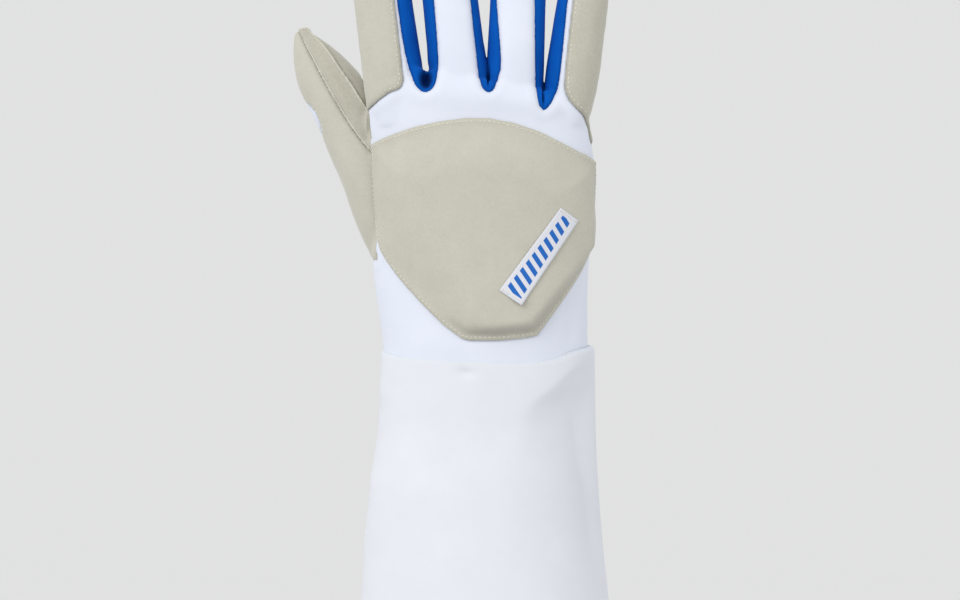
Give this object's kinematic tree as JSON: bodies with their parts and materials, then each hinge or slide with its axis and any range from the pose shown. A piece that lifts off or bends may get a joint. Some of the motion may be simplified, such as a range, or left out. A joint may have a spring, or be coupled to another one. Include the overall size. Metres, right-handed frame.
{
  "type": "fencing glove",
  "caption": "Right-hand fencing glove, fingers up: padded guard on the back, suede finger patches and thumb, blue finger gussets and a long flared gauntlet cuff.",
  "frame": {"origin": "middle of the wrist, at the height of the seam that joins the cuff to the hand", "axes": "+Z from the wrist to the fingertips, -Y out of the back of the hand, +Y out of the palm, -X towards the thumb"},
  "size_m": [0.1452, 0.0959, 0.3739],
  "materials": {
    "suede": "matte",
    "white_cloth": "matte",
    "cuff_cloth": "matte",
    "blue_knit": "matte",
    "label_tape": "satin"
  },
  "bodies": {
    "root": {"palm_panel": "suede", "back_panel": "white_cloth", "fourchette_index_middle": "blue_knit", "fourchette_middle_ring": "blue_knit", "fourchette_ring_little": "blue_knit", "thumb_back": "suede", "thumb_side": "suede", "thumb_palm": "suede", "thumb_gusset": "white_cloth", "index_patch": "suede", "little_patch": "suede", "back_pad": "suede", "label": "label_tape", "cuff": "cuff_cloth"}
  },
  "joints": []
}
